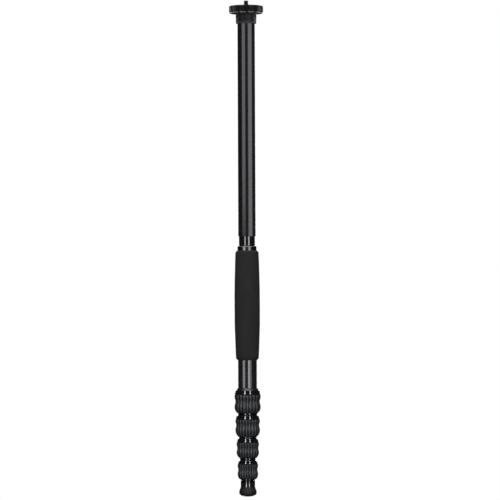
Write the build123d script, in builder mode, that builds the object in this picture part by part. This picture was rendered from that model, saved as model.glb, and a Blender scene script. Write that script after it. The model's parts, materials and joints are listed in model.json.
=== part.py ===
"""Five-section twist-lock leg of a travel tripod, unscrewed from its two fellows and
joined to the centre column, so that it stands in as a monopod. It is drawn pushed
together, upright on its rubber foot, with the camera screw on top. Millimetres, +Z up,
the origin on the ground under the foot.

The column group screws into leg section 1, each section slides in the one above it,
and a twist lock at the lower end of each tube but the last grips the section below.
"""
import os

from build123d import *

os.makedirs("parts", exist_ok=True)

# Fits, as gaps between radii or between faces
glue_gap = 0.05
thread_gap = 0.1
slide_gap = 0.05
free_gap = 0.3

# Leg tubes, from the thick upper one to the thin lower one
tube_diameters = [25.0, 22.0, 19.0, 16.0, 13.0]
tube_wall = 1.0
nest_step = 3.0
key_groove_width = 2.2
key_groove_depth = 0.45

# Rubber foot, the ferrule above it and the screw that joins them
foot_height = 13.2
foot_top_diameter = 19.3
foot_diameter = 23.2
foot_flare_height = 7.0
foot_edge_height = 5.0
foot_edge_inset = 0.6
foot_edge_drop = 1.9
foot_tread_diameter = 17.6
foot_tread_height = 1.5
ferrule_height = 8.8
ferrule_diameter = 19.1
ferrule_chamfer = 0.6
ferrule_floor = 3.0
ferrule_plug_length = 12.0
foot_screw_diameter = 8.0
foot_screw_start = 5.0
foot_screw_chamfer = 0.6

# Twist locks, from the large upper one to the small lower one
cone_heights = [3.7, 0.7, 0.65, 0.7]
cone_lip = 0.35
grip_lengths = [24.6, 23.0, 20.6, 19.9]
grip_diameters = [35.1, 32.7, 29.8, 27.5]
waist_diameters = [32.7, 30.5, 28.1, 25.8]
upper_bulge_drops = [2.8, 1.8, 1.9, 1.5]
waist_drops = [9.1, 7.6, 7.8, 7.3]
lower_bulge_drops = [16.8, 14.3, 13.0, 13.1]
shoulder_drop = 4.4
shoulder_inset = 1.1
grip_top_inset = 0.4
grip_end_wall = 0.8
rib_count = 22
rib_turns = [-0.8, -6.0, 4.9, -0.8]
rib_depth = 1.0
rib_end_depth = 0.5
rib_gap_share = 0.5
nut_end_diameters = [25.6, 23.4, 20.9, 19.6]
nut_end_heights = [2.5, 1.5, 2.4, 1.1]
nut_wall = 1.2
nut_rim_wall = 1.2
nut_floor = 2.0
bead_heights = [2.65, 2.5, 2.6, 2.4]
bead_land = 1.2
bead_inset = 0.45
bead_swell = 0.15
collar_wall = 1.2
collar_lip_height = 1.0
clamp_height = 9.0
clamp_thin_wall = 0.7
clamp_thick_wall = 1.7
clamp_split_width = 2.4
clamp_slit_width = 1.0
clamp_slit_height = 6.5
clamp_slit_count = 3
wiper_height = 1.0
wiper_width = 0.9

# Guide shims that centre each inner tube in the tube around it
guide_height = 13.0
guide_top_drop = 1.0
guide_split_width = 1.6

# Upper leg section
bare_tube_length = 36.8
foam_length = 145.7
foam_diameter = 33.8
foam_top_diameter = 30.6
foam_bottom_diameter = 30.0
foam_edge_share = 0.72
foam_widest_height = 71.8
insert_flange_height = 5.9
insert_flange_diameter = 25.3
insert_chamfer = 0.9
insert_plug_length = 18.0

# Centre column
bush_height = 12.7
bush_diameter = 21.3
bush_chamfer = 0.8
bush_plug_length = 20.0
column_diameter = 23.1
column_wall = 1.1
column_length = 282.85
column_end_chamfer = 0.4
column_screw_diameter = 9.525
column_screw_depth = 13.0
column_screw_rise = 16.0
column_screw_chamfer = 1.0
screw_hole_spare = 1.0

# Neck below the camera platform
neck_height = 13.5
neck_top_diameter = 27.3
neck_diameter = 27.7
neck_widest_drop = 4.5
neck_bottom_diameter = 27.2
neck_bottom_chamfer = 0.8
neck_groove_depth = 0.5
neck_groove_height = 0.8
neck_groove_drops = [7.3, 10.5]
neck_plug_length = 18.0
spigot_diameter = 16.0
spigot_length = 8.5
grub_screw_diameter = 3.0
grub_screw_length = 5.0
grub_screw_drop = 3.6
grub_screw_count = 3

# Camera platform and its screw
platform_diameter = 45.4
platform_height = 10.25
platform_top_round = 1.6
platform_bottom_chamfer = 0.9
platform_lip_height = 1.0
platform_lip_inset = 1.3
notch_count = 12
notch_diameter = 4.4
notch_depth = 1.9
notch_turn = 3.0
pad_outer_diameter = 38.0
pad_inner_diameter = 13.0
pad_height = 1.2
pad_rise = 0.4
camera_screw_diameter = 6.35
camera_screw_rise = 6.6
camera_screw_chamfer = 0.6
screw_shank_diameter = 9.525
screw_shank_length = 14.0
screw_shoulder = 0.6
screw_slot_width = 1.2
screw_slot_depth = 1.6

# Radii of the leg tubes, and of the clear space inside each
tube_radii = [diameter / 2 for diameter in tube_diameters]
bore_radii = [radius - tube_wall for radius in tube_radii]
lock_count = len(tube_radii) - 1

# Levels of the closed stack, worked out from the ground up
ferrule_bottom = foot_height
level = ferrule_bottom + ferrule_height
lock_bottoms = [0.0] * lock_count
lock_tops = [0.0] * lock_count
for n in reversed(range(lock_count)):
    lock_bottoms[n] = level + free_gap
    nut_height = nut_end_heights[n] + grip_lengths[n] + 2 * bead_heights[n]
    lock_tops[n] = lock_bottoms[n] + nut_height + cone_heights[n]
    level = lock_tops[n]
foam_bottom = lock_tops[0] + bare_tube_length
foam_top = foam_bottom + foam_length
insert_top = foam_top + insert_flange_height
column_bottom = insert_top + bush_height
column_top = column_bottom + column_length
neck_top = column_top + neck_height
platform_top = neck_top + platform_height
pad_top = platform_top + pad_rise
screw_top = pad_top + camera_screw_rise

# Levels inside the locks, and where each leg tube starts and ends
clamp_bottoms = [bottom + nut_floor + free_gap for bottom in lock_bottoms]
collar_bottoms = [bottom + clamp_height + glue_gap for bottom in clamp_bottoms]
tube_bottoms = [bottom + collar_lip_height + glue_gap for bottom in collar_bottoms]
tube_bottoms.append(ferrule_bottom + ferrule_floor + glue_gap)
tube_tops = [foam_top]
for n in range(lock_count):
    tube_tops.append(foam_top - insert_plug_length - (n + 1) * nest_step)


# Rubber foot: it flares to its widest part low down and ends in a shallow dome
with BuildPart() as rubber_foot:
    with BuildSketch(Plane.XZ):
        with BuildLine():
            Polyline(
                (0, 0),
                (0, foot_height),
                (foot_top_diameter / 2, foot_height),
                (foot_diameter / 2, foot_flare_height),
                (foot_diameter / 2, foot_edge_height),
                (foot_diameter / 2 - foot_edge_inset, foot_edge_height - foot_edge_drop),
                (foot_tread_diameter / 2, foot_tread_height),
            )
            TangentArc((0, 0), (foot_tread_diameter / 2, foot_tread_height), tangent=(1, 0))
        make_face()
    revolve(axis=Axis.Z)
    with BuildSketch(Plane.XY.offset(foot_height)):
        Circle(foot_screw_diameter / 2 + glue_gap)
    extrude(amount=-(foot_height - foot_screw_start + glue_gap), mode=Mode.SUBTRACT)
rubber_foot.part.label = "rubber_foot"
export_step(rubber_foot.part, "parts/rubber_foot.step")

# Ferrule: a cap on the lowest tube, with a plug inside it that takes the foot's screw
with BuildPart() as foot_ferrule:
    with BuildSketch(Plane.XY.offset(ferrule_bottom)):
        Circle(ferrule_diameter / 2)
    extrude(amount=ferrule_height)
    chamfer(foot_ferrule.edges().group_by(Axis.Z)[-1], ferrule_chamfer)
    tube_seat = Plane.XY.offset(ferrule_bottom + ferrule_floor)
    with BuildSketch(tube_seat):
        Circle(tube_radii[-1] + glue_gap)
    extrude(amount=ferrule_height, mode=Mode.SUBTRACT)
    with BuildSketch(tube_seat):
        Circle(bore_radii[-1] - glue_gap)
    extrude(amount=ferrule_plug_length)
    with BuildSketch(Plane.XY.offset(ferrule_bottom)):
        Circle(foot_screw_diameter / 2 + glue_gap)
    extrude(amount=ferrule_floor + ferrule_plug_length, mode=Mode.SUBTRACT)
foot_ferrule.part.label = "foot_ferrule"
export_step(foot_ferrule.part, "parts/foot_ferrule.step")

# Foot screw: a headless stud, half in the ferrule and half in the rubber
with BuildPart() as foot_screw:
    with BuildSketch(Plane.XY.offset(foot_screw_start)):
        Circle(foot_screw_diameter / 2)
    extrude(amount=ferrule_bottom + ferrule_floor + ferrule_plug_length - foot_screw_start)
    chamfer(foot_screw.edges().filter_by(GeomType.CIRCLE), foot_screw_chamfer)
foot_screw.part.label = "foot_screw"
export_step(foot_screw.part, "parts/foot_screw.step")

# Leg tubes: drawn aluminium with two grooves inside that keep the next tube from turning
for n, radius in enumerate(tube_radii):
    with BuildPart() as leg_tube:
        with BuildSketch(Plane.XY.offset(tube_bottoms[n])):
            Circle(radius)
            Circle(bore_radii[n], mode=Mode.SUBTRACT)
            if n < lock_count:
                key_span = 2 * (bore_radii[n] + key_groove_depth)
                Rectangle(key_span, key_groove_width, mode=Mode.SUBTRACT)
        extrude(amount=tube_tops[n] - tube_bottoms[n])
    leg_tube.part.label = f"leg_tube_{n + 1}"
    export_step(leg_tube.part, f"parts/leg_tube_{n + 1}.step")

# Guide shims: two half shells snapped round the top of each inner tube, with a key each
for n in range(1, len(tube_radii)):
    outside = bore_radii[n - 1] - slide_gap
    key_span = 2 * (bore_radii[n - 1] + key_groove_depth - thread_gap)
    with BuildPart() as guide_shims:
        with BuildSketch(Plane.XY.offset(tube_tops[n] - guide_top_drop)):
            Circle(outside)
            Rectangle(key_span, key_groove_width - 2 * thread_gap)
            Circle(tube_radii[n] + glue_gap, mode=Mode.SUBTRACT)
            Rectangle(guide_split_width, 3 * outside, mode=Mode.SUBTRACT)
        extrude(amount=-guide_height)
    guide_shims.part.label = f"guide_shims_{n + 1}"
    export_step(guide_shims.part, f"parts/guide_shims_{n + 1}.step")

# One twist lock at the lower end of each tube but the last
for n in range(lock_count):
    tube = tube_radii[n]
    inner_tube = tube_radii[n + 1]
    bottom = lock_bottoms[n]
    bead_height = bead_heights[n]
    grip_bottom = bottom + nut_end_heights[n]
    grip_top = grip_bottom + grip_lengths[n]
    nut_top = grip_top + 2 * bead_height
    clamp_bottom = clamp_bottoms[n]
    clamp_top = clamp_bottom + clamp_height
    clamp_inside = inner_tube + slide_gap
    collar_bottom = collar_bottoms[n]
    collar_barrel = tube + glue_gap + collar_wall
    nut_bore = collar_barrel + thread_gap
    nut_rim = nut_bore + nut_rim_wall
    nut_core = nut_bore + nut_wall
    nut_end = nut_end_diameters[n] / 2
    bulge = grip_diameters[n] / 2
    waist = waist_diameters[n] / 2

    # Threaded collar: glued on the tube, a cone above the nut and a lip under the tube's end
    with BuildPart() as lock_collar:
        with BuildSketch(Plane.XZ):
            with BuildLine():
                Polyline(
                    (inner_tube + free_gap, collar_bottom),
                    (collar_barrel, collar_bottom),
                    (collar_barrel, nut_top + free_gap),
                    (nut_rim, nut_top + free_gap),
                    (tube + glue_gap + cone_lip, lock_tops[n]),
                    (tube + glue_gap, lock_tops[n]),
                    (tube + glue_gap, collar_bottom + collar_lip_height),
                    (inner_tube + free_gap, collar_bottom + collar_lip_height),
                    close=True,
                )
            make_face()
        revolve(axis=Axis.Z)
    lock_collar.part.label = f"lock_collar_{n + 1}"
    export_step(lock_collar.part, f"parts/lock_collar_{n + 1}.step")

    # Clamp shim: a split cone that the nut squeezes round the inner tube
    with BuildPart() as clamp_shim:
        with BuildSketch(Plane.XZ):
            with BuildLine():
                Polyline(
                    (clamp_inside, clamp_bottom),
                    (clamp_inside + clamp_thin_wall, clamp_bottom),
                    (clamp_inside + clamp_thick_wall, clamp_top),
                    (clamp_inside, clamp_top),
                    close=True,
                )
            make_face()
        revolve(axis=Axis.Z)
        with BuildSketch(Plane.XY.offset(clamp_bottom)):
            with Locations((tube, 0)):
                Rectangle(tube, clamp_split_width)
        extrude(amount=clamp_height, mode=Mode.SUBTRACT)
        with BuildSketch(Plane.XY.offset(clamp_bottom)):
            with PolarLocations(tube, clamp_slit_count, start_angle=180 / clamp_slit_count):
                Rectangle(tube, clamp_slit_width)
        extrude(amount=clamp_slit_height, mode=Mode.SUBTRACT)
    clamp_shim.part.label = f"clamp_shim_{n + 1}"
    export_step(clamp_shim.part, f"parts/clamp_shim_{n + 1}.step")

    # Lock nut: two polished steps over a plain core, with the clamp's cone seat inside
    flange = bulge - bead_inset
    step = (flange + nut_rim) / 2 + bead_swell
    cone_bottom = clamp_inside + clamp_thin_wall + free_gap
    cone_top = clamp_inside + clamp_thick_wall + free_gap
    wiper_seat = inner_tube + wiper_width + glue_gap
    with BuildPart() as lock_nut:
        with BuildSketch(Plane.XZ):
            with BuildLine():
                Polyline(
                    (wiper_seat, bottom),
                    (nut_end, bottom),
                    (nut_end, grip_bottom),
                    (nut_core, clamp_top),
                    (nut_core, grip_top + glue_gap),
                    (flange, grip_top + glue_gap),
                    (flange, grip_top + bead_land),
                    (step, grip_top + bead_height),
                    (step, grip_top + bead_height + bead_land),
                    (nut_rim, nut_top),
                    (nut_bore, nut_top),
                    (nut_bore, clamp_top),
                    (cone_top, clamp_top),
                    (cone_bottom, bottom + nut_floor),
                    (inner_tube + free_gap, bottom + nut_floor),
                    (inner_tube + free_gap, bottom + wiper_height),
                    (wiper_seat, bottom + wiper_height),
                    close=True,
                )
            make_face()
        revolve(axis=Axis.Z)
    lock_nut.part.label = f"lock_nut_{n + 1}"
    export_step(lock_nut.part, f"parts/lock_nut_{n + 1}.step")

    # Wiper: a felt ring in the nut's mouth that keeps grit off the inner tube
    with BuildPart() as wiper_ring:
        with BuildSketch(Plane.XY.offset(bottom)):
            Circle(inner_tube + wiper_width)
            Circle(inner_tube + slide_gap, mode=Mode.SUBTRACT)
        extrude(amount=wiper_height - glue_gap)
    wiper_ring.part.label = f"wiper_ring_{n + 1}"
    export_step(wiper_ring.part, f"parts/wiper_ring_{n + 1}.step")

    # Groove: what is cut from the grip between two ribs, as a wedge of a turned band. A rib
    # stands at the grip's turn from the front
    rib_pitch = 360 / rib_count
    groove_arc = rib_gap_share * rib_pitch
    groove_start = rib_turns[n] - 90 + (rib_pitch - groove_arc) / 2
    upper_bulge = grip_top - upper_bulge_drops[n]
    waist_level = grip_top - waist_drops[n]
    lower_bulge = grip_top - lower_bulge_drops[n]
    shoulder = lower_bulge - shoulder_drop
    grip_end = nut_end + grip_end_wall
    with BuildPart() as groove:
        with BuildSketch(Plane.XZ):
            with BuildLine():
                Polyline(
                    (bulge - rib_depth, grip_top),
                    (bulge - rib_depth, upper_bulge),
                    (waist - rib_depth, waist_level),
                    (bulge - rib_depth, lower_bulge),
                    (bulge - shoulder_inset - rib_depth, shoulder),
                    (grip_end - rib_end_depth, grip_bottom),
                    (bulge + rib_depth, grip_bottom),
                    (bulge + rib_depth, grip_top),
                    close=True,
                )
            make_face()
        revolve(axis=Axis.Z, revolution_arc=groove_arc)

    # Rubber grip: a waisted sleeve over the nut's core, its ribs left standing by the grooves
    with BuildPart() as lock_grip:
        with BuildSketch(Plane.XZ):
            with BuildLine():
                Polyline(
                    (nut_end + glue_gap, grip_bottom),
                    (grip_end, grip_bottom),
                    (bulge - shoulder_inset, shoulder),
                    (bulge, lower_bulge),
                    (waist, waist_level),
                    (bulge, upper_bulge),
                    (bulge - grip_top_inset, grip_top),
                    (nut_core + glue_gap, grip_top),
                    (nut_core + glue_gap, clamp_top),
                    close=True,
                )
            make_face()
        revolve(axis=Axis.Z)
        with PolarLocations(0, rib_count, start_angle=groove_start):
            add(groove.part, mode=Mode.SUBTRACT)
    lock_grip.part.label = f"lock_grip_{n + 1}"
    export_step(lock_grip.part, f"parts/lock_grip_{n + 1}.step")

# Foam grip: a barrel of soft foam drawn over the top tube. Its edges are taken off by a
# share of the wall at that end
foam_bore = tube_radii[0] + glue_gap
lower_edge = foam_edge_share * (foam_bottom_diameter / 2 - foam_bore)
upper_edge = foam_edge_share * (foam_top_diameter / 2 - foam_bore)
with BuildPart() as foam_grip:
    with BuildSketch(Plane.XZ):
        with BuildLine():
            Polyline(
                (foam_bottom_diameter / 2, foam_bottom + lower_edge),
                (foam_bottom_diameter / 2 - lower_edge, foam_bottom),
                (foam_bore, foam_bottom),
                (foam_bore, foam_top),
                (foam_top_diameter / 2 - upper_edge, foam_top),
                (foam_top_diameter / 2, foam_top - upper_edge),
            )
            ThreePointArc(
                (foam_top_diameter / 2, foam_top - upper_edge),
                (foam_diameter / 2, foam_bottom + foam_widest_height),
                (foam_bottom_diameter / 2, foam_bottom + lower_edge),
            )
        make_face()
    revolve(axis=Axis.Z)
foam_grip.part.label = "foam_grip"
export_step(foam_grip.part, "parts/foam_grip.step")

# Leg top insert: a turned plug in the top tube, with a bright chamfered flange above it
with BuildPart() as leg_insert:
    with BuildSketch(Plane.XY.offset(foam_top + glue_gap)):
        Circle(insert_flange_diameter / 2)
    extrude(amount=insert_flange_height - glue_gap)
    chamfer(leg_insert.edges().group_by(Axis.Z)[-1], insert_chamfer)
    with BuildSketch(Plane.XY.offset(foam_top + glue_gap)):
        Circle(bore_radii[0] - glue_gap)
    extrude(amount=-insert_plug_length)
    with BuildSketch(Plane.XY.offset(insert_top)):
        Circle(column_screw_diameter / 2 + thread_gap)
    extrude(amount=-(column_screw_depth + screw_hole_spare), mode=Mode.SUBTRACT)
leg_insert.part.label = "leg_insert"
export_step(leg_insert.part, "parts/leg_insert.step")

# Column screw: the stud that joins the column to the leg
with BuildPart() as column_screw:
    with BuildSketch(Plane.XY.offset(insert_top - column_screw_depth)):
        Circle(column_screw_diameter / 2)
    extrude(amount=column_screw_depth + column_screw_rise)
    chamfer(column_screw.edges().group_by(Axis.Z)[0], column_screw_chamfer)
column_screw.part.label = "column_screw"
export_step(column_screw.part, "parts/column_screw.step")

# Column bush: a polished plug in the column's lower end that holds the column screw
with BuildPart() as column_bush:
    with BuildSketch(Plane.XY.offset(insert_top)):
        Circle(bush_diameter / 2)
    extrude(amount=bush_height - glue_gap)
    chamfer(column_bush.edges().group_by(Axis.Z)[0], bush_chamfer)
    with BuildSketch(Plane.XY.offset(column_bottom - glue_gap)):
        Circle(column_diameter / 2 - column_wall - glue_gap)
    extrude(amount=bush_plug_length)
    with BuildSketch(Plane.XY.offset(insert_top)):
        Circle(column_screw_diameter / 2 + glue_gap)
    extrude(amount=column_screw_rise + glue_gap, mode=Mode.SUBTRACT)
column_bush.part.label = "column_bush"
export_step(column_bush.part, "parts/column_bush.step")

# Column tube, with its sharp lower edge taken off
with BuildPart() as column_tube:
    with BuildSketch(Plane.XY.offset(column_bottom)):
        Circle(column_diameter / 2)
        Circle(column_diameter / 2 - column_wall, mode=Mode.SUBTRACT)
    extrude(amount=column_length)
    lower_edges = column_tube.edges().group_by(Axis.Z)[0]
    chamfer(lower_edges.sort_by(SortBy.RADIUS)[-1], column_end_chamfer)
column_tube.part.label = "column_tube"
export_step(column_tube.part, "parts/column_tube.step")

# Neck: a grooved collar plugged into the column's top, with a socket for the platform
neck_bottom = column_top + glue_gap
grub_screw_level = neck_top - grub_screw_drop
with BuildPart() as column_neck:
    with BuildSketch(Plane.XZ):
        with BuildLine():
            Polyline(
                (0, neck_bottom),
                (neck_bottom_diameter / 2 - neck_bottom_chamfer, neck_bottom),
                (neck_bottom_diameter / 2, neck_bottom + neck_bottom_chamfer),
                (neck_diameter / 2, neck_top - neck_widest_drop),
                (neck_top_diameter / 2, neck_top),
                (0, neck_top),
                close=True,
            )
        make_face()
        for drop in neck_groove_drops:
            with Locations((neck_diameter / 2, neck_top - drop)):
                Rectangle(4 * neck_groove_depth, neck_groove_height, mode=Mode.SUBTRACT)
    revolve(axis=Axis.Z)
    with BuildSketch(Plane.XY.offset(neck_bottom)):
        Circle(column_diameter / 2 - column_wall - glue_gap)
    extrude(amount=-neck_plug_length)
    with BuildSketch(Plane.XY.offset(neck_top)):
        Circle(spigot_diameter / 2 + glue_gap)
    extrude(amount=-(spigot_length + glue_gap), mode=Mode.SUBTRACT)
    with BuildSketch(Plane.XY.offset(neck_top)):
        Circle(screw_shank_diameter / 2 + glue_gap)
    extrude(amount=-(neck_height + neck_plug_length), mode=Mode.SUBTRACT)
    with PolarLocations(0, grub_screw_count, start_angle=90):
        with Locations(Location((0, 0, grub_screw_level), (0, 90, 0))):
            Cylinder(
                grub_screw_diameter / 2 + glue_gap,
                neck_diameter,
                align=(Align.CENTER, Align.CENTER, Align.MIN),
                mode=Mode.SUBTRACT,
            )
column_neck.part.label = "column_neck"
export_step(column_neck.part, "parts/column_neck.step")

# Grub screws: three in the neck, pressed on the platform's spigot
with BuildPart() as neck_grub_screws:
    with PolarLocations(0, grub_screw_count, start_angle=90):
        with Locations(Location((spigot_diameter / 2 + glue_gap, 0, grub_screw_level), (0, 90, 0))):
            Cylinder(
                grub_screw_diameter / 2,
                grub_screw_length,
                align=(Align.CENTER, Align.CENTER, Align.MIN),
            )
neck_grub_screws.part.label = "neck_grub_screws"
export_step(neck_grub_screws.part, "parts/neck_grub_screws.step")

# Camera platform: a turned plate with a rounded rim, finger notches, a lip and a spigot below
rim = platform_diameter / 2
round_flat = platform_top_round * (1 - 0.5**0.5)
with BuildPart() as camera_platform:
    with BuildSketch(Plane.XZ):
        with BuildLine():
            Polyline(
                (0, neck_top),
                (rim - platform_lip_inset, neck_top),
                (rim - platform_lip_inset, neck_top + platform_lip_height),
                (rim, neck_top + platform_lip_height + platform_bottom_chamfer),
                (rim, platform_top - platform_top_round),
                (rim - round_flat, platform_top - round_flat),
                (rim - platform_top_round, platform_top),
                (0, platform_top),
                close=True,
            )
        make_face()
    revolve(axis=Axis.Z)
    with BuildSketch(Plane.XY.offset(neck_top)):
        notch_ring = rim - notch_depth + notch_diameter / 2
        with PolarLocations(notch_ring, notch_count, start_angle=notch_turn - 90):
            Circle(notch_diameter / 2)
    extrude(amount=platform_height, mode=Mode.SUBTRACT)
    with BuildSketch(Plane.XY.offset(neck_top)):
        Circle(spigot_diameter / 2)
    extrude(amount=-spigot_length)
    with BuildSketch(Plane.XY.offset(platform_top)):
        Circle(pad_outer_diameter / 2 + glue_gap)
        Circle(pad_inner_diameter / 2 - glue_gap, mode=Mode.SUBTRACT)
    extrude(amount=-(pad_height - pad_rise), mode=Mode.SUBTRACT)
    with BuildSketch(Plane.XY.offset(platform_top)):
        Circle(screw_shank_diameter / 2 + glue_gap)
    extrude(amount=-(platform_height + spigot_length), mode=Mode.SUBTRACT)
camera_platform.part.label = "camera_platform"
export_step(camera_platform.part, "parts/camera_platform.step")

# Friction pad: a rubber ring let into the platform, a little proud of the metal
with BuildPart() as platform_pad:
    with BuildSketch(Plane.XY.offset(pad_top)):
        Circle(pad_outer_diameter / 2)
        Circle(pad_inner_diameter / 2, mode=Mode.SUBTRACT)
    extrude(amount=-pad_height)
platform_pad.part.label = "platform_pad"
export_step(platform_pad.part, "parts/platform_pad.step")

# Camera screw: a stepped stud, thick in the platform and quarter-inch above it
shank_top = platform_top + screw_shoulder
with BuildPart() as camera_screw:
    with BuildSketch(Plane.XY.offset(shank_top)):
        Circle(screw_shank_diameter / 2)
    extrude(amount=-screw_shank_length)
    chamfer(camera_screw.edges().filter_by(GeomType.CIRCLE), camera_screw_chamfer)
    with BuildSketch(Plane.XY.offset(shank_top)):
        Circle(camera_screw_diameter / 2)
    extrude(amount=screw_top - shank_top)
    chamfer(camera_screw.edges().group_by(Axis.Z)[-1], camera_screw_chamfer)
    with BuildSketch(Plane.XY.offset(screw_top)):
        Rectangle(camera_screw_diameter, screw_slot_width)
    extrude(amount=-screw_slot_depth, mode=Mode.SUBTRACT)
camera_screw.part.label = "camera_screw"
export_step(camera_screw.part, "parts/camera_screw.step")

# How far each section slides out before its guides meet the collar's lip
for n in range(lock_count):
    guide_bottom = tube_tops[n + 1] - guide_top_drop - guide_height
    stop = collar_bottoms[n] + collar_lip_height + free_gap
    print(f"section {n + 2} slides {guide_bottom - stop:.1f} mm")
print(f"closed height {screw_top:.1f} mm")
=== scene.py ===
"""Camera monopod: the twist-lock leg of a travel tripod screwed to its centre column, closed."""
import json
from math import atan2, cos, hypot, pi, radians, sin

import bmesh
import bpy
from mathutils import Matrix, Vector, noise
from mathutils.geometry import interpolate_bezier


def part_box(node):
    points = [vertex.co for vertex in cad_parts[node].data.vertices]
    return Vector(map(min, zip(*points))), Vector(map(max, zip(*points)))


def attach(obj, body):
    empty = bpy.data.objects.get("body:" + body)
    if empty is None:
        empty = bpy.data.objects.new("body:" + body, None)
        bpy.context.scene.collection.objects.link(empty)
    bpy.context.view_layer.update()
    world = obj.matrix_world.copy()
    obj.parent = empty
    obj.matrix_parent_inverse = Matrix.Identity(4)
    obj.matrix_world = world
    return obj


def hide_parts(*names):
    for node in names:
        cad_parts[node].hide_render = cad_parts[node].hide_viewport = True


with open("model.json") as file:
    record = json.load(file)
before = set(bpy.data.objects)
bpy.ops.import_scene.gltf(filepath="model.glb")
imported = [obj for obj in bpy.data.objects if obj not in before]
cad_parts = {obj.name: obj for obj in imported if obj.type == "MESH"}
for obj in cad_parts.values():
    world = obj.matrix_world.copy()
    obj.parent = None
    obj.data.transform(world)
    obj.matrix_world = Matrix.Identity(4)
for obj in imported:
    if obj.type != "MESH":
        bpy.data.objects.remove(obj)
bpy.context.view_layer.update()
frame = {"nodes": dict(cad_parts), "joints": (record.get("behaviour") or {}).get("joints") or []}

nodes = frame["nodes"]

# Leg tubes: five drawn aluminium tubes, polished and then anodised black, each sliding in
# the one above. Drawing leaves faint lines along them, and hands and dust dull them in
# patches, which shows where the light runs down them.


class Wire:
    """One socket in a node tree. Sums and comparisons written on it add Math nodes to the tree."""

    def __init__(self, socket):
        self.socket = socket

    def node(self, kind, settings=None, sockets=None, output=0):
        """Adds a node to the tree, sets it up, joins it, and gives back one of its outputs."""
        made = self.socket.id_data.nodes.new(kind)
        for name, value in (settings or {}).items():
            setattr(made, name, value)
        for name, value in (sockets or {}).items():
            join(value, made.inputs[name])
        return Wire(made.outputs[output])

    def maths(self, operation, *values):
        """One Math node on wires and numbers."""
        return self.node("ShaderNodeMath", {"operation": operation}, dict(enumerate(values)))

    def __add__(self, other):
        return self.maths("ADD", self, other)

    def __mul__(self, other):
        return self.maths("MULTIPLY", self, other)

    def __pow__(self, other):
        return self.maths("POWER", self, other)

    def __gt__(self, other):
        return self.maths("GREATER_THAN", self, other)

    def __lt__(self, other):
        return self.maths("LESS_THAN", self, other)

    __radd__ = __add__
    __rmul__ = __mul__


def join(value, socket):
    """Links a wire to a socket, or sets the socket to a plain value."""
    if isinstance(value, Wire):
        value.socket.id_data.links.new(value.socket, socket)
    else:
        socket.default_value = value


def new_finish(name, pieces, **plain):
    """Puts a new Principled material on the pieces, with sockets that are the same all over.
    Gives back its shader and its Object coordinates."""
    material = bpy.data.materials.new(name)
    material.use_nodes = True
    shader = material.node_tree.nodes["Principled BSDF"]
    for socket, value in plain.items():
        shader.inputs[socket.replace("_", " ")].default_value = value
    for piece in pieces:
        if not piece.material_slots:
            piece.data.materials.append(None)
        for slot in piece.material_slots:
            slot.material = material
    places = material.node_tree.nodes.new("ShaderNodeTexCoord")
    return shader, Wire(places.outputs["Object"])


def vary(shader, **sockets):
    """Joins what changes over the surface to the shader's sockets."""
    for name, value in sockets.items():
        join(value, shader.inputs[name.replace("_", " ")])


def bumped(shader, height, depth):
    """Raises the surface by a height from 0 to 1, times a depth in metres."""
    bump = height.node("ShaderNodeBump", None, {"Height": height, "Distance": depth})
    join(bump, shader.inputs["Normal"])


def grain(place, stretch, detail=2.0):
    """Noise whose grains have this many periods a metre along X, Y and Z."""
    stretched = place.node("ShaderNodeMapping", None, {"Vector": place, "Scale": stretch})
    sockets = {"Vector": stretched, "Scale": 1.0, "Detail": detail, "Roughness": 0.6}
    return place.node("ShaderNodeTexNoise", None, sockets)


def mixed(factor, first, second):
    """The colour between two colours, each a wire or its red, green and blue."""
    ends = [end if isinstance(end, Wire) else (*end, 1) for end in (first, second)]
    sockets = {0: factor, 6: ends[0], 7: ends[1]}
    return factor.node("ShaderNodeMix", {"data_type": "RGBA"}, sockets, 2)


leg_tubes = [nodes[f"leg_tube_{n}"] for n in range(1, 6)]
shader, place = new_finish("black_leg_tube", leg_tubes, IOR=1.65)
draw_lines = grain(place, (2400, 2400, 4), 3)
handling = grain(place, (70, 70, 24), 3)
vary(
    shader,
    Base_Color=mixed(handling, (0.004, 0.004, 0.0045), (0.009, 0.009, 0.010)),
    Roughness=0.13 + 0.08 * handling + 0.04 * draw_lines,
)
bumped(shader, draw_lines, 0.000001)

# Guide shims: pairs of black acetal half shells snapped round the top of each inner tube.
# They are moulded, with a fine matt skin that slides against the tube outside them.
guide_shims = [nodes[f"guide_shims_{n}"] for n in range(2, 6)]
shader, place = new_finish("guide_acetal", guide_shims, IOR=1.48)
skin = grain(place, (1800, 1800, 1800), 3)
rubbed = grain(place, (160, 160, 30))
vary(
    shader,
    Base_Color=mixed(rubbed, (0.012, 0.012, 0.013), (0.03, 0.03, 0.032)),
    Roughness=0.42 + 0.2 * skin,
)
bumped(shader, skin, 0.00002)

# Clamp shims: split cones of natural acetal that the nut squeezes on the next tube. The
# moulding is off-white and waxy, and a little grey where the tube has rubbed it.
clamp_shims = [nodes[f"clamp_shim_{n}"] for n in range(1, 5)]
shader, place = new_finish(
    "clamp_acetal", clamp_shims, IOR=1.48, Subsurface_Weight=0.2, Subsurface_Scale=0.001
)
skin = grain(place, (1500, 1500, 1500), 3)
rubbed = grain(place, (220, 220, 60), 3)
vary(
    shader,
    Base_Color=mixed(rubbed, (0.72, 0.70, 0.63), (0.52, 0.51, 0.48)),
    Roughness=0.36 + 0.2 * skin,
)
bumped(shader, skin, 0.00002)

# Lock collars: turned aluminium, glued on each tube's lower end. The top one rises to its
# tube in a hollow cone, and the others are short caps with a rounded edge. Turning leaves
# fine rings round them under the satin black anodising.
glue_gap = 0.00005
free_gap = 0.0003
seat_gap = 0.0001
collar_wall = 0.0012
collar_lip = 0.001
collar_edge = 0.0003
cap_edge = 0.0002
cap_radii = (0.0127, 0.0127, 0.01155, 0.0104)
# Radius and height of the two corners that draw the hollow cone inwards.
cone_pulls = ((0.0139, 0.1432), (0.0131, 0.1439))


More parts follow.
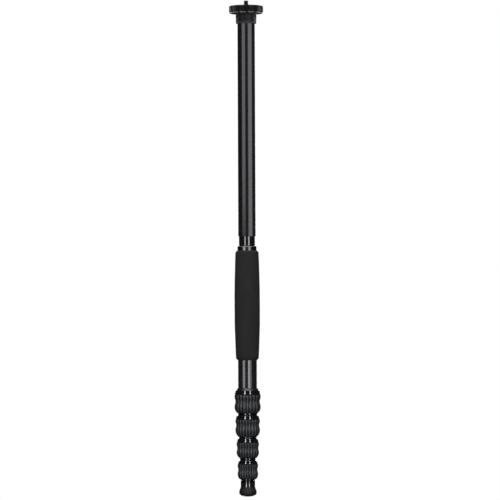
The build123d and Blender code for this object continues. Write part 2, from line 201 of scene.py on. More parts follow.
def ring_mesh(outline, steps=96):
    """Spins a closed outline of (radius, height) corners into a solid ring."""
    mesh = bmesh.new()
    corners = [mesh.verts.new((radius, 0, height)) for radius, height in outline]
    edges = [mesh.edges.new((one, corners[n - 1])) for n, one in enumerate(corners)]
    bmesh.ops.spin(
        mesh, geom=corners + edges, cent=(0, 0, 0), axis=(0, 0, 1),
        angle=2 * pi, steps=steps, use_merge=True,
    )
    bmesh.ops.recalc_face_normals(mesh, faces=mesh.faces)
    return mesh


def object_of(name, mesh):
    """Makes a bmesh an object in the scene."""
    data = bpy.data.meshes.new(name)
    mesh.to_mesh(data)
    mesh.free()
    made = bpy.data.objects.new(name, data)
    bpy.context.scene.collection.objects.link(made)
    return made


def piece_of(name, body, node, mesh, sharp=40):
    """Makes a bmesh a piece that rides on a body and stands for a CAD node."""
    piece = object_of(name, mesh)
    for face in piece.data.polygons:
        face.use_smooth = True
    piece.data.set_sharp_from_angle(angle=radians(sharp))
    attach(piece, body)
    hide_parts(node)
    return piece


def bend(start, pull, push, end, points=9):
    """Points of an outline that bends from one corner to another, drawn towards two others."""
    corners = [Vector((radius, 0, height)) for radius, height in (start, pull, push, end)]
    return [(point.x, point.z) for point in interpolate_bezier(*corners, points)]


collar_pieces = []
for n, cap_radius in enumerate(cap_radii, 1):
    low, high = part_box(f"lock_collar_{n}")
    cap_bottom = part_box(f"lock_nut_{n}")[1].z + seat_gap
    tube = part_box(f"leg_tube_{n}")[1].x + glue_gap
    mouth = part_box(f"leg_tube_{n + 1}")[1].x + free_gap
    barrel, rim = tube + collar_wall, high.x
    outline = [(mouth, low.z), (barrel - collar_edge, low.z), (barrel, low.z + collar_edge)]
    outline += [(barrel, cap_bottom), (rim, cap_bottom)]
    if n == 1:
        outline += [(rim, cap_bottom + collar_edge)]
        cone_start = (rim - 0.0001, cap_bottom + 0.0004)
        outline += bend(cone_start, *cone_pulls, (cap_radius, high.z))
    else:
        outline += [(rim, high.z - collar_edge), (rim - cap_edge, high.z)]
        outline += [(cap_radius, high.z + cap_edge)]
    outline += [(tube, outline[-1][1]), (tube, low.z + collar_lip), (mouth, low.z + collar_lip)]
    collar_pieces.append(piece_of(
        f"collar_cap_{n}", f"section_{n}", f"lock_collar_{n}", ring_mesh(outline)
    ))
shader, place = new_finish("black_collar", collar_pieces, IOR=1.6)
tool_rings = grain(place, (60, 60, 5200), 3)
handling = grain(place, (120, 120, 120), 3)
vary(
    shader,
    Base_Color=mixed(handling, (0.004, 0.004, 0.0045), (0.010, 0.010, 0.011)),
    Roughness=0.22 + 0.14 * tool_rings,
)
bumped(shader, tool_rings, 0.000006)

# Lock nuts: turned aluminium with two polished bands over the rubber and a small satin ring
# under it. The polish mirrors the lamps, so each band carries a pair of bright dots.
nut_ends = (0.0128, 0.0117, 0.01045, 0.0098)
collar_room = 0.00135
nut_wall = 0.0012
nut_floor = 0.002
cone_height = 0.0113
cone_top_room = 0.00205
cone_bottom_room = 0.00105
wiper_room = 0.00095
wiper_height = 0.001
band_gap = 0.0008
band_step = 0.0004
band_rounding = 0.00075
band_cut = 0.00035
band_turn = 75
# How far in from the end ring's side and up from its foot its rounding goes.
ring_rounding = ((0.0005, 0), (0.00015, 0.00015), (0, 0.0004), (0, 0.0005))
ring_land = 0.0001


def band(outside, bottom, top, points=6):
    """Outline of a band with a flat middle and rounded edges, from its bottom to its top."""
    outline = []
    for edge, start in ((bottom + band_rounding, -band_turn), (top - band_rounding, 0)):
        for n in range(points):
            turn = radians(start + band_turn * n / (points - 1))
            cut_back = band_cut * (1 - cos(turn))
            outline.append((outside - cut_back, edge + band_rounding * sin(turn)))
    return outline


def painted(place, name):
    """The number that each corner of the mesh carries under this name."""
    return place.node("ShaderNodeAttribute", {"attribute_name": name}, None, 2)


nut_pieces = []
for n, nut_end in enumerate(nut_ends, 1):
    low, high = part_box(f"lock_nut_{n}")
    grip_low, grip_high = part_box(f"lock_grip_{n}")
    inner_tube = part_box(f"leg_tube_{n + 1}")[1].x
    wiper_seat, mouth = inner_tube + wiper_room, inner_tube + free_gap
    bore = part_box(f"leg_tube_{n}")[1].x + collar_room
    core, flange = bore + nut_wall, high.x
    cone_top, undercut = low.z + cone_height, grip_high.z + glue_gap
    band_bottom = grip_high.z + band_gap
    middle = (band_bottom + high.z) / 2
    outline = [(wiper_seat, low.z)]
    outline += [(nut_end - inwards, low.z + up) for inwards, up in ring_rounding]
    outline += [(nut_end, grip_low.z - ring_land), (nut_end, grip_low.z)]
    outline += [(core, cone_top), (core, undercut), (flange - band_gap, undercut)]
    outline += band(flange, band_bottom, middle)
    outline += band((flange + core) / 2 + band_step, middle, high.z)
    outline += [(core, high.z), (bore, high.z), (bore, cone_top)]
    outline += [(inner_tube + cone_top_room, cone_top)]
    outline += [(inner_tube + cone_bottom_room, low.z + nut_floor), (mouth, low.z + nut_floor)]
    outline += [(mouth, low.z + wiper_height), (wiper_seat, low.z + wiper_height)]
    mesh = ring_mesh(outline)
    satin = mesh.verts.layers.float.new("satin")
    for corner in mesh.verts:
        corner[satin] = corner.co.z < grip_low.z + ring_land
    nut_pieces.append(piece_of(
        f"nut_bands_{n}", f"lock_{n}", f"lock_nut_{n}", mesh
    ))
shader, place = new_finish("polished_nut", nut_pieces, IOR=2.0)
tool_rings = grain(place, (50, 50, 6000), 2)
handling = grain(place, (140, 140, 140), 3)
satin = painted(place, "satin")
polish = mixed(handling, (0.003, 0.003, 0.0035), (0.008, 0.008, 0.009))
vary(
    shader,
    Base_Color=mixed(satin, polish, (0.045, 0.045, 0.048)),
    Metallic=satin,
    Roughness=0.05 + 0.04 * handling + 0.03 * tool_rings + 0.10 * satin,
)
bumped(shader, tool_rings, 0.0000006)

# Lock grips: soft rubber sleeves moulded on the nuts, waisted and ribbed so that a wet or
# gloved hand can turn them. The ribs' tops are painted lighter than the grooves: painted shade
# in the grooves and under the nut's bands, with a little real wear on the tops.
waists = (0.01635, 0.01525, 0.01405, 0.0129)
upper_drops = (0.0028, 0.0018, 0.0019, 0.0015)
waist_drops = (0.0091, 0.0076, 0.0078, 0.0073)
lower_drops = (0.0168, 0.0143, 0.0130, 0.0131)
rib_turns = (-0.8, -6.0, 4.9, -0.8)
bulge_swell = 0.00045
core_room = 0.0026
end_wall = 0.0008
rib_count = 22
steps_per_rib = 10
rib_depth = 0.0010
rib_end_depth = 0.0005
rib_fade = 0.004
# Corners nearer than this to the nut's core belong to the sleeve's inside, which has no ribs.
inside_reach = 0.0004
# The ribs' tops darken over this height under the nut's bands, a painted shade under the bands.
band_shade_height = 0.0025


def turned(mesh, corners, angle, axis="Z"):
    """Turns corners of a mesh by an angle in degrees about an axis through the origin."""
    matrix = Matrix.Rotation(radians(angle), 3, axis)
    bmesh.ops.rotate(mesh, verts=corners, cent=(0, 0, 0), matrix=matrix)


grip_pieces = []
grip_shapes = zip(nut_ends, waists, upper_drops, waist_drops, lower_drops, rib_turns)
for n, shape in enumerate(grip_shapes, 1):
    nut_end, waist, upper_drop, waist_drop, lower_drop, rib_turn = shape
    low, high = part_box(f"lock_grip_{n}")
    nut_low, nut_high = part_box(f"lock_nut_{n}")
    bulge = nut_high.x + bulge_swell
    core, cone_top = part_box(f"leg_tube_{n}")[1].x + core_room, nut_low.z + cone_height
    upper, middle, lower = high.z - upper_drop, high.z - waist_drop, high.z - lower_drop
    upper_half, lower_half = (upper - middle) / 2, (middle - lower) / 2
    end = nut_end + end_wall
    # Every third corner lies on the sleeve's side, and the two between draw the bend.
    side = (
        (bulge - 0.0005, high.z), (bulge - 0.0001, high.z - 0.0002), (bulge, upper + 0.001),
        (bulge, upper), (bulge, upper - upper_half), (waist, middle + upper_half),
        (waist, middle), (waist, middle - lower_half), (bulge, lower + lower_half),
        (bulge, lower), (bulge, lower - 0.004), (end + 0.0014, low.z + 0.0008),
        (end, low.z),
    )
    outline = [(nut_end + glue_gap, low.z), (core, cone_top), (core, high.z), side[0]]
    for start in range(0, len(side) - 1, 3):
        outline += bend(*side[start:start + 4])[1:]
    mesh = ring_mesh(outline, rib_count * steps_per_rib)
    lit_and_worn = mesh.verts.layers.float.new("lit_and_worn")
    for corner in mesh.verts:
        radius, height = hypot(corner.co.x, corner.co.y), corner.co.z
        up_cone = min((height - low.z) / (cone_top - low.z), 1)
        if radius < nut_end + (core - nut_end) * up_cone + inside_reach:
            continue
        cut = 0.5 - 0.5 * cos(rib_count * atan2(corner.co.y, corner.co.x))
        full = min((height - low.z) / rib_fade, 1)
        corner.co.xy *= 1 - cut * (rib_end_depth + (rib_depth - rib_end_depth) * full) / radius
        # Painted shade: grooves and the strip under the nut's bands get a low value, so a darker
        # colour; rib tops get a high one.
        corner[lit_and_worn] = (1 - cut) ** 2 * min(0.2 + (high.z - height) / band_shade_height, 1)
    turned(mesh, mesh.verts, rib_turn - 90)
    grip_pieces.append(piece_of(
        f"grip_sleeve_{n}", f"lock_{n}", f"lock_grip_{n}", mesh, 60
    ))
shader, place = new_finish("grip_rubber", grip_pieces, IOR=1.45)
speckle = grain(place, (2600, 2600, 2600), 4)
dust = grain(place, (260, 260, 110), 4)
# Painted shade in the grooves and under the bands, with real wear and dust on the rib tops.
wear_and_light = (0.35 + 0.65 * dust) * painted(place, "lit_and_worn")
vary(
    shader,
    Base_Color=mixed(wear_and_light, (0.004, 0.004, 0.0045), (0.088, 0.093, 0.108)),
    Roughness=0.34 + 0.20 * speckle,
)
bumped(shader, speckle, 0.00006)

# Wiper rings: pressed grey felt, cut as flat rings and glued in the mouth of each nut. They
# keep grit off the tube that slides through them.
wiper_rings = [nodes[f"wiper_ring_{n}"] for n in range(1, 5)]
shader, place = new_finish("wiper_felt", wiper_rings, IOR=1.4, Roughness=0.95, Sheen_Weight=0.3)
fibres = grain(place, (2200, 900, 2600), 5)
vary(shader, Base_Color=mixed(fibres, (0.03, 0.03, 0.03), (0.12, 0.12, 0.12)))
bumped(shader, fibres, 0.0001)

# Foot ferrule: a turned cap on the lowest tube, polished like the nuts and anodised black. Its
# upper end is given a darker, duller finish, a painted shade for the lock above it, so its
# streaks fade there.
# Heights between which the painted shade at the ferrule's top fades in.
unshaded_below = 0.0165
shaded_above = 0.0198


def height_of(place):
    """How high each point of the surface is, in metres."""
    return place.node("ShaderNodeSeparateXYZ", None, {"Vector": place}, 2)


ferrule = nodes["foot_ferrule"]
shader, place = new_finish("polished_ferrule", [ferrule], IOR=1.75)
tool_rings = grain(place, (50, 50, 5600), 2)
handling = grain(place, (150, 150, 150), 3)
# Painted shade: from this height up the finish turns darker and duller, standing in for the lock's
# shade.
sockets = {"Value": height_of(place), "From Min": unshaded_below, "From Max": shaded_above}
painted_top_shade = place.node("ShaderNodeMapRange", None, sockets)
polish = mixed(handling, (0.004, 0.004, 0.0045), (0.010, 0.010, 0.011))
vary(
    shader,
    Base_Color=mixed(painted_top_shade, polish, (0.026, 0.026, 0.029)),
    Metallic=painted_top_shade,
    Roughness=0.05 + 0.04 * handling + 0.03 * tool_rings + 0.12 * painted_top_shade,
)
bumped(shader, tool_rings, 0.0000006)

# Rubber foot: moulded black rubber that flares to its tread and is screwed to the ferrule.
# Its sole is a shallow dome with two grooves round it, dusty where it meets the ground.
screw_hole = 0.00405


def solid_mesh(outline, steps=96):
    """Spins an outline that starts and ends on the axis into a solid without a hole."""
    mesh = ring_mesh(outline, steps)
    bmesh.ops.remove_doubles(mesh, verts=mesh.verts, dist=0.000001)
    bmesh.ops.recalc_face_normals(mesh, faces=mesh.faces)
    return mesh


foot_top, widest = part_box("rubber_foot")[1].z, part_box("rubber_foot")[1].x
hole_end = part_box("foot_screw")[0].z - glue_gap
hole = [(0, hole_end), (screw_hole, hole_end), (screw_hole, foot_top)]
top_edge = [(0.0094, foot_top), (0.00965, foot_top - 0.0003)]
flare = bend((0.00965, foot_top - 0.0004), (0.0101, 0.0108), (0.0114, 0.0085), (widest, 0.0068))
tread = bend((widest, 0.0054), (widest, 0.0036), (0.0108, 0.0026), (0.0088, 0.0016))
outer_groove = [(0.0076, 0.00112), (0.0074, 0.00172), (0.0064, 0.0014), (0.0062, 0.00074)]
inner_groove = [(0.0046, 0.00040), (0.0044, 0.00095), (0.0034, 0.00080), (0.0032, 0.00020)]
outline = hole + top_edge + flare + tread + outer_groove + inner_groove + [(0, 0)]
foot = piece_of("foot_boot", "section_5", "rubber_foot", solid_mesh(outline), 35)
shader, place = new_finish("foot_rubber", [foot], IOR=1.4)
speckle = grain(place, (2200, 2200, 2200), 4)
dust = grain(place, (240, 240, 240), 4)
vary(
    shader,
    Base_Color=mixed(dust ** 1.5, (0.004, 0.0042, 0.0042), (0.0145, 0.015, 0.015)),
    Roughness=0.5 + 0.25 * speckle,
)
bumped(shader, speckle, 0.00005)

# Foam grip: a sleeve of closed-cell foam stretched over the top tube, fullest at its
# middle, with softly rounded ends. Its cut cells show as a fine matt speckle.
foam_top_radius = 0.0153
foam_bottom_radius = 0.0150
foam_widest_height = 0.0718
foam_edge_share = 0.8
foam_rows = 60
# Corners nearer than this to the tube belong to the bore, which stays round.
bore_reach = 0.0003

foam_low, foam_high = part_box("foam_grip")
foam_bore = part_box("leg_tube_1")[1].x + glue_gap
foam_radius = foam_high.x
foam_widest = foam_low.z + foam_widest_height
outline = [(foam_bore, foam_low.z), (foam_bore, foam_high.z)]
for row in range(foam_rows + 1):
    height = foam_high.z + (foam_low.z - foam_high.z) * row / foam_rows
    if height > foam_widest:
        end, end_radius = foam_high.z, foam_top_radius
    else:
        end, end_radius = foam_low.z, foam_bottom_radius
    away = (height - foam_widest) / (end - foam_widest)
    radius = foam_radius - (foam_radius - end_radius) * away * away
    rounding = foam_edge_share * (end_radius - foam_bore)
    inset = max(rounding - abs(end - height), 0)
    outline.append((radius - rounding + (rounding ** 2 - inset ** 2) ** 0.5, height))
mesh = ring_mesh(outline, 128)
for corner in mesh.verts:
    radius = hypot(corner.co.x, corner.co.y)
    if radius > foam_bore + bore_reach:
        # The hand has pressed dents up to a tenth of a millimetre deep, and the cut is uneven.
        dents = 0.00010 * noise.noise(corner.co * 55)
        unevenness = 0.00004 * noise.noise(corner.co * 260)
        corner.co.xy *= min(1 + (dents + unevenness) / radius, foam_radius / radius)
foam = piece_of("foam_sleeve", "section_1", "foam_grip", mesh)
shader, place = new_finish("grip_foam", [foam], IOR=1.25, Sheen_Weight=0.02, Sheen_Roughness=0.6)
sockets = {"Vector": place, "Scale": 1500.0, "Randomness": 1.0}
cells = place.node("ShaderNodeTexVoronoi", None, sockets)
pores = grain(place, (2400, 2400, 2400), 4)
patches = grain(place, (90, 90, 45), 3)
shade = 0.45 * pores + 0.35 * patches + 0.2 * cells
vary(
    shader,
    Base_Color=mixed(shade, (0.007, 0.007, 0.0075), (0.030, 0.030, 0.031)),
    Roughness=0.8 + 0.15 * pores,
)
bumped(shader, 0.6 * pores + 0.4 * cells, 0.00012)

# Leg top insert: bare turned aluminium pressed in the top tube. Only its flange shows, as a
# dull bright ring between the foam and the column, with a painted highlight on its chamfer: a
# lighter colour in place of the light the chamfer catches from above.
insert_chamfer = 0.00095
insert = nodes["leg_insert"]
shader, place = new_finish("turned_insert", [insert], Metallic=1.0, IOR=1.5)
tool_rings = grain(place, (60, 60, 7000), 3)
# Painted highlight: the chamfer at the insert's top is given a lighter colour.
chamfer = height_of(place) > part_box("leg_insert")[1].z - insert_chamfer
flange = mixed(tool_rings, (0.036, 0.035, 0.033), (0.075, 0.073, 0.069))
vary(
    shader,
    Base_Color=mixed(chamfer, flange, (0.16, 0.157, 0.15)),
    Roughness=0.20 + 0.14 * tool_rings + 0.2 * chamfer,
)
bumped(shader, tool_rings, 0.000005)

# Column bush: turned aluminium, polished black, pressed in the column's lower end. It is
# threaded inside for the screw that joins the column to the leg.
bush = nodes["column_bush"]
shader, place = new_finish("polished_bush", [bush], IOR=1.55)
tool_rings = grain(place, (60, 60, 5000), 3)
vary(
    shader,
    Base_Color=mixed(tool_rings, (0.005, 0.005, 0.006), (0.012, 0.012, 0.013)),
    Roughness=0.12 + 0.06 * tool_rings,
)
bumped(shader, tool_rings, 0.0000008)

# Column tube: drawn aluminium like the leg tubes, anodised a softer satin black. The bush
# and the neck are pressed in its two ends.
column = nodes["column_tube"]
shader, place = new_finish("black_column", [column], IOR=1.5)
draw_lines = grain(place, (2600, 2600, 3), 3)
handling = grain(place, (60, 60, 16), 3)
vary(
    shader,
    Base_Color=mixed(handling, (0.005, 0.005, 0.0055), (0.011, 0.011, 0.012)),
    Roughness=0.13 + 0.06 * handling + 0.04 * draw_lines,
)
bumped(shader, draw_lines, 0.000001)

# Neck: a turned collar in satin black, plugged into the column's top. The lip at its foot is
# painted a little lighter than its grooves, a painted highlight for the light it catches.
lip_height = 0.003


def satin_black(name, piece):
    """The satin black anodising of the neck and the platform, turned and then handled."""
    shader, place = new_finish(name, [piece], IOR=1.38)
    tool_rings = grain(place, (70, 70, 3600), 3)
    handling = grain(place, (110, 110, 110), 4)
    vary(shader, Roughness=0.30 + 0.15 * handling + 0.08 * tool_rings)
    bumped(shader, tool_rings, 0.000008)
    return shader, place, mixed(handling, (0.004, 0.004, 0.0045), (0.014, 0.014, 0.015))


neck = nodes["column_neck"]
shader, place, black = satin_black("satin_neck", neck)
lip = height_of(place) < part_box("column_tube")[1].z + lip_height
# Painted highlight: the lip at the neck's foot gets a lighter colour.
vary(shader, Base_Color=mixed(0.6 * lip, black, (0.07, 0.07, 0.075)))

# Camera platform: a turned plate in satin black, its rim notched for the fingers that hold it
# while a camera is screwed on. A bright line is painted along the lower edge of the rim's pads,
# a painted highlight for the light that edge catches.
line_rise = 0.0006
line_height = 0.0009
line_radius = 0.0213

platform = nodes["camera_platform"]
shader, place, black = satin_black("satin_platform", platform)
line_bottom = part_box("column_neck")[1].z + line_rise
height = height_of(place)
level = place.node("ShaderNodeVectorMath", {"operation": "MULTIPLY"}, {0: place, 1: (1, 1, 0)})
from_axis = place.node("ShaderNodeVectorMath", {"operation": "LENGTH"}, {0: level}, 1)
# Painted highlight: a light, metallic band along the lower edge of the pads.
line = (height > line_bottom) * (height < line_bottom + line_height) * (from_axis > line_radius)
vary(shader, Base_Color=mixed(line, black, (0.55, 0.55, 0.56)), Metallic=0.85 * line)

# Screws: blackened steel. The camera screw stands on a thick shank and is slotted, so that a
# coin turns it; the column and foot screws are headless studs, and three grub screws with
# hexagonal sockets hold the platform in the neck.
camera_thread, camera_pitch, camera_bevel = 0.003175, 0.00127, 0.0005
thread_sink = 0.0002
shoulder_rise, shank_edge = 0.0006, 0.0006
slot_width, slot_depth = 0.0012, 0.0016
cutter_length, cutter_height = 0.008, 0.004
stud_bevel = 0.0006
grub_radius, grub_length = 0.0015, 0.005
socket_radius, socket_depth, socket_rim = 0.00075, 0.0015, 0.0005
# The tooth's depth, and where its crest starts and ends, as shares of the pitch.
tooth_depth, crest_start, crest_end = 0.6, 0.42, 0.58
thread_steps = 36


def thread_on(mesh, radius, pitch, bottom, top, bevelled):
    """Adds a threaded length to a mesh: a tooth spun upwards, trimmed and closed at its ends."""
    thread = bmesh.new()
    root = radius - tooth_depth * pitch
    crest = (radius, crest_start * pitch), (radius, crest_end * pitch)
    tooth = ((root, 0), *crest, (root, pitch))
    corners = [thread.verts.new((out, 0, bottom - pitch + rise)) for out, rise in tooth]
    edges = [thread.edges.new(pair) for pair in zip(corners, corners[1:])]
    turns = int((top - bottom) / pitch) + 3
    bmesh.ops.spin(
        thread, geom=corners + edges, cent=(0, 0, 0), axis=(0, 0, 1),
        dvec=(0, 0, pitch / thread_steps), angle=2 * pi * turns, steps=thread_steps * turns,
        use_merge=False,
    )
    bmesh.ops.remove_doubles(thread, verts=thread.verts, dist=0.000005)
    for level, direction in ((bottom, -1), (top, 1)):
        geometry = thread.verts[:] + thread.edges[:] + thread.faces[:]
        cut = bmesh.ops.bisect_plane(
            thread, geom=geometry, dist=0.000001, plane_co=(0, 0, level),
            plane_no=(0, 0, direction), clear_outer=True,
        )
        rim = [part for part in cut["geom_cut"] if isinstance(part, bmesh.types.BMEdge)]
        bmesh.ops.contextual_create(thread, geom=rim)
    bmesh.ops.recalc_face_normals(thread, faces=thread.faces)
    for corner in thread.verts:
        from_end = min(corner.co.z - bottom + bevelled, top - corner.co.z)
        allowed = radius - bevelled + from_end
        away = hypot(corner.co.x, corner.co.y)
        if away > allowed:
            corner.co.xy *= allowed / away
    added = bpy.data.meshes.new("thread")
    thread.to_mesh(added)
    thread.free()
    mesh.from_mesh(added)
    bpy.data.meshes.remove(added)


low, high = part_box("camera_screw")
shank, shoulder = high.x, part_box("camera_platform")[1].z + shoulder_rise
outline = [(0, low.z), (shank - shank_edge, low.z), (shank, low.z + shank_edge)]
outline += [(shank, shoulder - shank_edge), (shank - shank_edge, shoulder), (0, shoulder)]
mesh = solid_mesh(outline, 64)
thread_on(mesh, camera_thread, camera_pitch, shoulder - thread_sink, high.z, camera_bevel)
camera_screw = piece_of("camera_stud", "column", "camera_screw", mesh)
mesh = bmesh.new()
bmesh.ops.create_cube(mesh, size=1)
bmesh.ops.scale(mesh, verts=mesh.verts, vec=(cutter_length, slot_width, cutter_height))
cutter_middle = high.z - slot_depth + cutter_height / 2
bmesh.ops.translate(mesh, verts=mesh.verts, vec=(0, 0, cutter_middle))
cutter = object_of("slot_cutter", mesh)
slotted = camera_screw.modifiers.new("slot", "BOOLEAN")
slotted.object = cutter
slotted.operation = "DIFFERENCE"
slotted.solver = "EXACT"
slotted.use_self = True
bpy.context.view_layer.update()
with_slot = camera_screw.evaluated_get(bpy.context.evaluated_depsgraph_get())
cut_mesh = bpy.data.meshes.new_from_object(with_slot)
camera_screw.modifiers.clear()
camera_screw.data = cut_mesh
bpy.data.objects.remove(cutter)
steel_screws = [camera_screw]

for name, body, radius, pitch in (
    ("column_screw", "column", 0.0047625, 0.0015875),
    ("foot_screw", "section_5", 0.004, 0.00125),
):
    low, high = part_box(name)
    mesh = bmesh.new()
    thread_on(mesh, radius, pitch, low.z, high.z, stud_bevel)
    steel_screws.append(piece_of(f"{name}_stud", body, name, mesh))

grub_low, grub_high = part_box("neck_grub_screws")
mesh = bmesh.new()
bmesh.ops.create_circle(mesh, cap_ends=True, radius=grub_radius, segments=24)
face = mesh.faces[:][0]
bmesh.ops.inset_region(mesh, faces=[face], thickness=socket_rim)
for corner in face.verts:
    turn = atan2(corner.co.y, corner.co.x) % (pi / 3) - pi / 6
    corner.co.xy *= socket_radius / cos(turn) / hypot(corner.co.x, corner.co.y)
socket = bmesh.ops.extrude_discrete_faces(mesh, faces=[face])["faces"]
bmesh.ops.translate(mesh, verts=socket[0].verts, vec=(0, 0, -socket_depth))
rim = [edge for edge in mesh.edges if edge.is_boundary]
sides = bmesh.ops.extrude_edge_only(mesh, edges=rim)["geom"]
tip = [part for part in sides if isinstance(part, bmesh.types.BMVert)]
tip_rim = [part for part in sides if isinstance(part, bmesh.types.BMEdge)]
bmesh.ops.translate(mesh, verts=tip, vec=(0, 0, -grub_length))
bmesh.ops.contextual_create(mesh, geom=tip_rim)
turned(mesh, mesh.verts, 90, "Y")
bmesh.ops.translate(mesh, verts=mesh.verts, vec=(grub_high.y, 0, (grub_low.z + grub_high.z) / 2))
one = mesh.verts[:] + mesh.edges[:] + mesh.faces[:]
first = mesh.verts[:]
for angle in (210, 330):
    copied = bmesh.ops.duplicate(mesh, geom=one)["geom"]
    turned(mesh, [part for part in copied if isinstance(part, bmesh.types.BMVert)], angle)
turned(mesh, first, 90)
bmesh.ops.recalc_face_normals(mesh, faces=mesh.faces)
steel_screws.append(
    piece_of("grub_screw_set", "column", "neck_grub_screws", mesh)
)
shader, place = new_finish("blackened_steel", steel_screws, Metallic=1.0, IOR=1.5)
scale_marks = grain(place, (900, 900, 900), 4)
vary(
    shader,
    Base_Color=mixed(scale_marks, (0.08, 0.08, 0.081), (0.21, 0.21, 0.215)),
    Roughness=0.25 + 0.2 * scale_marks,
)
bumped(shader, scale_marks, 0.00001)

# Platform pad: a black rubber ring let into the platform under the camera, moulded with fine
# ridges round it that grip the camera's base.
pad_inside = 0.0065
ridge_count = 10
groove_depth = 0.0003
groove_half_width = 0.00025
groove_half_floor = 0.0001

pad_low, pad_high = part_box("platform_pad")
pad_outside = pad_high.x
groove_bottom = pad_high.z - groove_depth
outline = [(pad_inside, pad_high.z), (pad_inside, pad_low.z)]
outline += [(pad_outside, pad_low.z), (pad_outside, pad_high.z)]
for n in range(ridge_count - 1, 0, -1):
    groove = pad_inside + n * ((pad_outside - pad_inside) / ridge_count)
    outline += [(groove + groove_half_width, pad_high.z)]
    outline += [(groove + groove_half_floor, groove_bottom)]
    outline += [(groove - groove_half_floor, groove_bottom)]
    outline += [(groove - groove_half_width, pad_high.z)]
pad = piece_of(
    "ridged_pad", "column", "platform_pad", ring_mesh(outline), 30
)
shader, place = new_finish("pad_rubber", [pad], IOR=1.5)
speckle = grain(place, (2400, 2400, 2400), 4)
vary(
    shader,
    Base_Color=mixed(speckle, (0.010, 0.010, 0.011), (0.026, 0.026, 0.027)),
    Roughness=0.6 + 0.25 * speckle,
)
bumped(shader, speckle, 0.00005)

# Studio: a pale matt floor and white walls. The leg is held by its grip, as in the photograph,
# and the floor lies where the foot stands once all four sections are pulled out.
floor_gap = 0.0002
white = (1, 1, 1, 1)
room_glow = 0.04

reach = sum(joint["range_m"][1] for joint in frame["joints"] if joint["type"] == "slide")
mesh = bmesh.new()
bmesh.ops.create_circle(mesh, cap_ends=True, radius=4.0, segments=96)
bmesh.ops.translate(mesh, verts=mesh.verts, vec=(0, 0, -reach - floor_gap))
floor = object_of("floor", mesh)
new_finish(
    "floor_paper", [floor], Base_Color=(0.05, 0.05, 0.05, 1), Roughness=0.9,
    Emission_Color=white, Emission_Strength=1.0,
)
floor.visible_glossy = False
floor.visible_diffuse = False
floor.visible_shadow = False

world = bpy.data.worlds.new("studio")
world.use_nodes = True
bpy.context.scene.world = world
background = world.node_tree.nodes["Background"]
join(white, background.inputs["Color"])
join(1.0, background.inputs["Strength"])
walls = Wire(background.outputs[0])
dark_room = walls.node("ShaderNodeBackground", None, {"Color": white, "Strength": room_glow})
seen = walls.node("ShaderNodeLightPath", output="Is Camera Ray")
either = walls.node("ShaderNodeMixShader", None, {0: seen, 1: dark_room, 2: walls})
join(either, world.node_tree.nodes["World Output"].inputs["Surface"])

# Lamps: soft boxes round the object. Each group of pieces is lit by its own, as cards and
# flags do it in a studio, so the polished bands, the tubes and the rubber each show other
# streaks of light.
cool_white = (0.965, 0.97, 1.0)


def soft_lamp(name, lit, bearing, distance, height, width, tall, brightness, rise):
    """A soft box that lights one collection. Bearing 0 is behind the camera and grows to the
    right, and rise is how many degrees above level the lamp aims."""
    lamp = bpy.data.lights.new(name, "AREA")
    lamp.shape = "RECTANGLE"
    lamp.size = width
    lamp.size_y = tall
    lamp.energy = brightness * width * tall
    lamp.color = cool_white
    holder = bpy.data.objects.new(name, lamp)
    turn = radians(bearing)
    holder.location = (distance * sin(turn), -distance * cos(turn), height)
    holder.rotation_euler = (pi / 2 + radians(rise), 0, turn)
    holder.visible_camera = False
    holder.light_linking.receiver_collection = lit
    bpy.context.scene.collection.objects.link(holder)


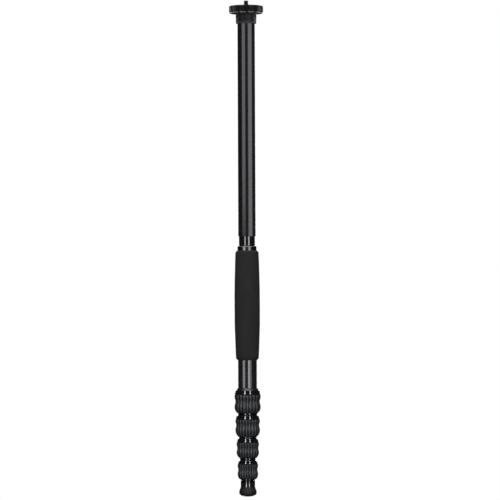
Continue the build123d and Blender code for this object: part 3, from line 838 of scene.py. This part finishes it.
inner_pieces = wiper_rings + guide_shims + clamp_shims
dull_pieces = grip_pieces + collar_pieces + inner_pieces + [foot, foam]
overhead = ("above", 0, 0.2, 2.0, 1.8, 1.8, 9, -85)
underneath = ("below", 0, 0.5, -0.6, 1.0, 1.0, 6, 68)
behind_head = ("behind", 180, 1.6, 0.45, 0.5, 1.2, 14, 0)
lamp_groups = (
    # Each lamp's place, bearing, distance, height, width, tall, brightness and rise
    ("polished", nut_pieces + [ferrule], (
        ("right", 24.5, 1.3, -0.4, 0.20, 1.44, 27, 0),
        ("left", -24.5, 1.3, -0.4, 0.20, 1.44, 36, 0),
        ("behind", 180, 1.6, 0, 0.5, 2.1, 14, 0),
        ("above", 180, 1.0, 1.9, 1.5, 1.5, 9, -60),
    )),
    ("bush", [bush], (
        ("right", 27.5, 1.3, 0.33, 0.36, 0.6, 31, 0),
        ("left", -27.5, 1.3, 0.33, 0.36, 0.6, 26, 0),
        behind_head,
        overhead,
    )),
    ("insert", [insert], (
        ("right", 30, 1.3, 0.33, 0.50, 0.8, 22, 0),
        ("left", -34, 1.3, 0.33, 0.50, 0.8, 26, 0),
        behind_head,
        overhead,
    )),
    ("leg", leg_tubes, (
        ("right", 17, 1.3, -0.15, 0.30, 1.9, 22, 0),
        ("right_wide", 36, 1.3, -0.15, 0.6, 1.9, 7, 0),
        ("left", -44, 1.3, -0.15, 0.60, 1.9, 11.5, 0),
        ("behind", 180, 1.6, 0, 0.5, 2.1, 14, 0),
        overhead,
        ("below", 0, 1.2, -2.2, 1.6, 1.6, 5, 60),
    )),
    ("column", [column], (
        ("right", 49, 1.3, 0.45, 1.3, 1.3, 10, 0),
        ("left", -38, 1.3, 0.85, 1.05, 0.95, 8.5, 0),
        behind_head,
        overhead,
        ("below", 0, 1.2, -1.6, 1.6, 1.6, 5, 60),
    )),
    ("neck", [neck], (
        ("front", 4, 1.3, 0.5, 0.5, 1.0, 3.5, 0),
        ("front_right", 36, 1.3, 0.5, 0.9, 1.0, 5, 0),
        ("front_left", -38, 1.3, 0.5, 0.9, 1.0, 3, 0),
        ("right", 115, 1.3, 0.5, 1.0, 1.0, 5, 0),
        ("left", -115, 1.3, 0.5, 1.0, 1.0, 2.5, 0),
        overhead,
        underneath,
    )),
    ("head", [platform, pad] + steel_screws, (
        ("front_right", 33, 1.3, 0.5, 0.5, 1.0, 3.2, 0),
        ("front_left", -35, 1.3, 0.5, 0.7, 1.0, 2.0, 0),
        ("right", 115, 1.3, 0.5, 1.0, 1.0, 8, 0),
        ("left", -115, 1.3, 0.5, 1.0, 1.0, 8, 0),
        overhead,
        underneath,
    )),
    ("dull", dull_pieces, (
        ("right", 24.5, 1.3, 0.5, 0.4, 0.8, 21, 0),
        ("left", -24.5, 1.3, 0.5, 0.4, 0.8, 21, 0),
        ("front", -2, 1.3, 0.9, 0.22, 0.4, 36, 0),
        ("low", 0, 1.3, -0.75, 0.8, 0.8, 4, 0),
        ("behind", 180, 1.6, 0, 0.5, 2.1, 22, 0),
        overhead,
    )),
)
for group, pieces, lamps in lamp_groups:
    lit = bpy.data.collections.new(f"{group}_pieces")
    for piece in pieces:
        lit.objects.link(piece)
    for side, *setting in lamps:
        soft_lamp(f"{group}_{side}", lit, *setting)

# Camera: level with the middle of the object and 4.3 m in front of it, turned a hair so
# that the object leans left at the top as it does in the photograph.
camera = bpy.data.cameras.new("camera")
camera.sensor_width = 36.0
camera.lens = 232.8
camera_holder = bpy.data.objects.new("camera", camera)
camera_holder.location = (0.0040, -4.3, 0.328)
camera_holder.rotation_euler = (pi / 2, radians(0.229), 0)
bpy.context.scene.collection.objects.link(camera_holder)
bpy.context.scene.camera = camera_holder
bpy.context.scene.view_settings.view_transform = "Standard"
